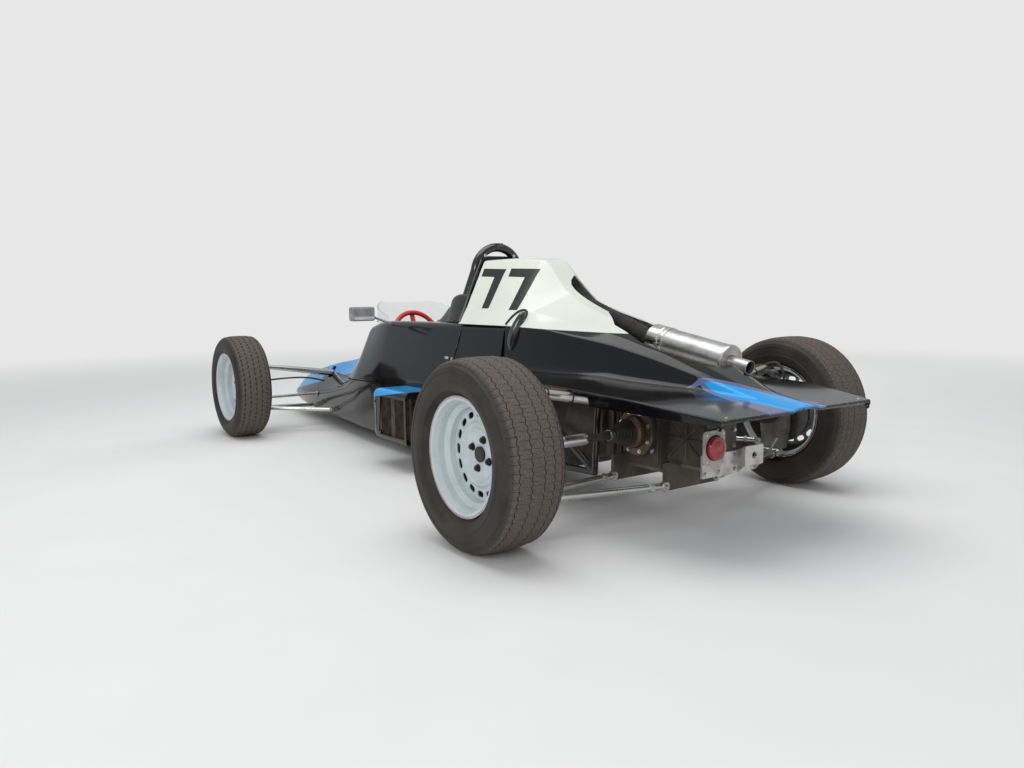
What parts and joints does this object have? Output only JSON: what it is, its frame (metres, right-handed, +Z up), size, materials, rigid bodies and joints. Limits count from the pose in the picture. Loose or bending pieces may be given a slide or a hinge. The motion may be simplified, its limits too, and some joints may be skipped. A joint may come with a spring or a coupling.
{
  "type": "open wheel racing car",
  "caption": "Single-seat open wheel racing car with a low glass-fibre body, flat rear deck, roll hoop, slotted wheels and rocker-arm suspension.",
  "frame": {"origin": "on the ground under the middle of the car's length and width", "axes": "-Y to the nose, +X the car's left side, +Z up"},
  "size_m": [1.678, 3.88, 0.981],
  "materials": {
    "white_blue_black_skin": "gloss glass-fibre",
    "black_skin": "gloss glass-fibre",
    "black_plastic": "satin",
    "black_tube": "gloss",
    "silver_tube": "satin plated",
    "clear": "clear",
    "mirror_shell": "satin",
    "red_rim": "worn",
    "seat_black": "satin",
    "alloy": "cast",
    "iron": "rough",
    "steel_bright": "satin",
    "radiator_core": "matt",
    "rim_paint": "satin",
    "tyre": "worn",
    "lens_red": "clear red",
    "silencer_alloy": "brushed",
    "wrap": "matt"
  },
  "bodies": {
    "chassis": {"nose_cone": "black_skin", "lower_tub": "black_skin", "cockpit_surround": "black_skin", "side_panels": "black_skin", "tail_moulding": "white_blue_black_skin", "roll_hoop": "black_tube", "head_fairing": "black_plastic", "windscreen": "clear", "mirrors": "mirror_shell", "dash_panel": "black_plastic", "seat": "seat_black", "gear_lever": "black_plastic", "sidepods": "black_skin", "radiators": "radiator_core", "air_scoop": "black_skin", "bay_frame": "black_tube", "engine_block": "iron", "gearbox": "iron", "exhaust_pipe": "wrap", "silencer": "silencer_alloy", "tail_lamp": "lens_red", "tail_bracket": "alloy", "rack_housing": "alloy", "front_rockers": "silver_tube", "front_wishbones": "silver_tube", "rear_uprights": "alloy", "rear_rockers": "silver_tube", "rear_wishbones": "silver_tube", "radius_rods": "silver_tube"},
    "steering": {"steering_wheel": "red_rim", "steering_column": "steel_bright"},
    "rack": {"rack_bar": "silver_tube"},
    "knuckle_left": {"front_knuckle_left": "alloy"},
    "knuckle_right": {"front_knuckle_right": "alloy"},
    "front_left": {"front_wheel_left": "rim_paint", "front_tyre_left": "tyre"},
    "rear_left": {"rear_wheel_left": "rim_paint", "rear_tyre_left": "tyre", "driveshaft_left": "black_tube"},
    "front_right": {"front_wheel_right": "rim_paint", "front_tyre_right": "tyre"},
    "rear_right": {"rear_wheel_right": "rim_paint", "rear_tyre_right": "tyre", "driveshaft_right": "black_tube"}
  },
  "joints": [
    {"name": "left_kingpin", "type": "hinge", "parent": "chassis", "child": "knuckle_left", "pos_m": [0.618, -1.13, 0.272], "axis": [0, 0, 1], "range_deg": [-22, 22]},
    {"name": "right_kingpin", "type": "hinge", "parent": "chassis", "child": "knuckle_right", "pos_m": [-0.618, -1.13, 0.272], "axis": [0, 0, 1], "range_deg": [-22, 22]},
    {"name": "rack_slide", "type": "slide", "parent": "chassis", "child": "rack", "axis": [1, 0, 0], "range_m": [-0.035, 0.035]},
    {"name": "steering_turn", "type": "hinge", "parent": "chassis", "child": "steering", "pos_m": [0, -0.405, 0.55], "axis": [0, 0.9217, 0.3879], "range_deg": [-245, 245]},
    {"name": "front_left_spin", "type": "hinge", "parent": "knuckle_left", "child": "front_left", "pos_m": [0.7, -1.13, 0.272], "axis": [1, 0, 0], "continuous": true},
    {"name": "rear_left_spin", "type": "hinge", "parent": "chassis", "child": "rear_left", "pos_m": [0.732, 1.34, 0.291], "axis": [1, 0, 0], "continuous": true},
    {"name": "front_right_spin", "type": "hinge", "parent": "knuckle_right", "child": "front_right", "pos_m": [-0.7, -1.13, 0.272], "axis": [1, 0, 0], "continuous": true},
    {"name": "rear_right_spin", "type": "hinge", "parent": "chassis", "child": "rear_right", "pos_m": [-0.732, 1.34, 0.291], "axis": [1, 0, 0], "continuous": true}
  ],
  "couplings": [
    {"joint": "right_kingpin", "follows": "left_kingpin", "ratio": 1},
    {"joint": "rack_slide", "follows": "left_kingpin", "m_per_rad": 0.09},
    {"joint": "steering_turn", "follows": "left_kingpin", "ratio": 11}
  ]
}
